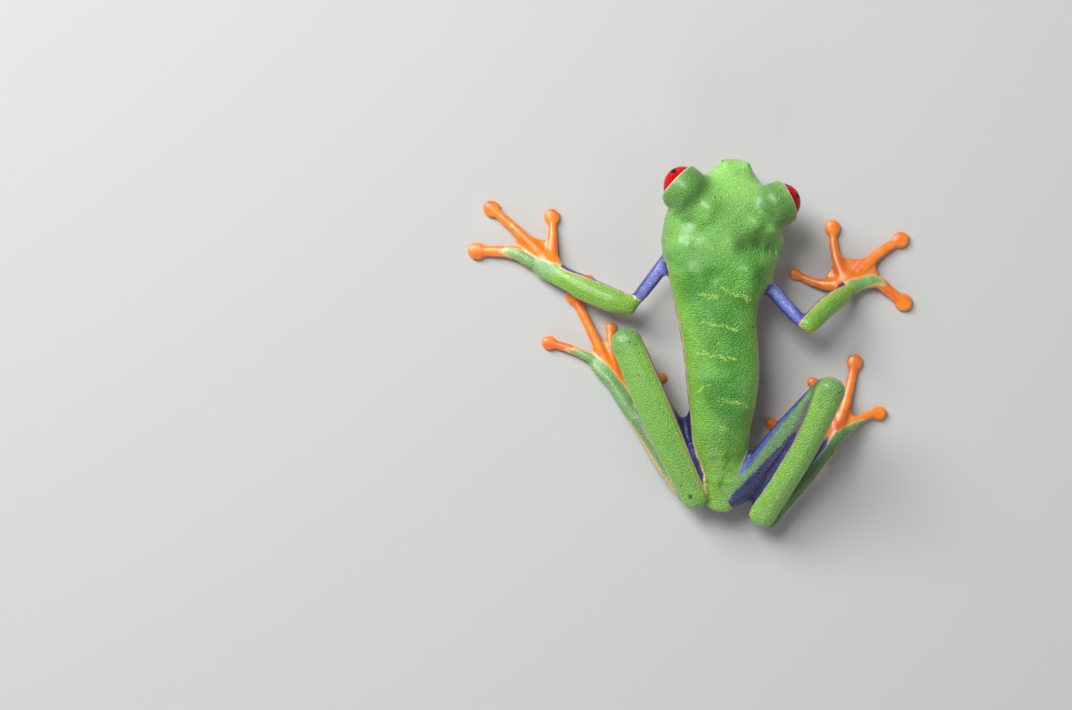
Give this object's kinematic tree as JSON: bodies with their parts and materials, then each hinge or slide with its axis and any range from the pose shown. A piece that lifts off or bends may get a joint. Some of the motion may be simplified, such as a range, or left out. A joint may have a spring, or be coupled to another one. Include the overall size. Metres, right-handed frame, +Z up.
{
  "type": "tree frog",
  "caption": "Life-size tree frog clinging low, with arms spread, long legs folded, webbed hands and feet with round discs, and large side-set eyes.",
  "frame": {"origin": "centre of the bounding box in plan, at the level of the floor under the discs of the fingers and toes", "axes": "+Y ahead along the trunk, +X to the frog's right, +Z up"},
  "size_m": [0.0642, 0.0526, 0.0159],
  "materials": {
    "green_skin": "fine-grained, moist",
    "blue_skin": "smooth, moist",
    "orange_skin": "smooth, moist",
    "eye": "wet gloss"
  },
  "bodies": {
    "root": {"torso": "green_skin", "head": "green_skin", "eye_left": "eye", "eye_right": "eye", "upper_arm_left": "blue_skin", "upper_arm_right": "blue_skin", "forearm_left": "green_skin", "forearm_right": "green_skin", "hand_left": "orange_skin", "hand_right": "orange_skin", "finger_left_1": "orange_skin", "finger_left_2": "orange_skin", "finger_left_3": "orange_skin", "finger_left_4": "orange_skin", "finger_right_1": "orange_skin", "finger_right_2": "orange_skin", "finger_right_3": "orange_skin", "finger_right_4": "orange_skin", "thigh_left": "blue_skin", "thigh_right": "blue_skin", "shank_left": "green_skin", "shank_right": "green_skin", "tarsus_left": "green_skin", "tarsus_right": "green_skin", "foot_left": "orange_skin", "foot_right": "orange_skin", "toe_left_1": "orange_skin", "toe_left_2": "orange_skin", "toe_left_3": "orange_skin", "toe_left_4": "orange_skin", "toe_left_5": "orange_skin", "toe_right_1": "orange_skin", "toe_right_2": "orange_skin", "toe_right_3": "orange_skin", "toe_right_4": "orange_skin", "toe_right_5": "orange_skin"}
  },
  "joints": []
}
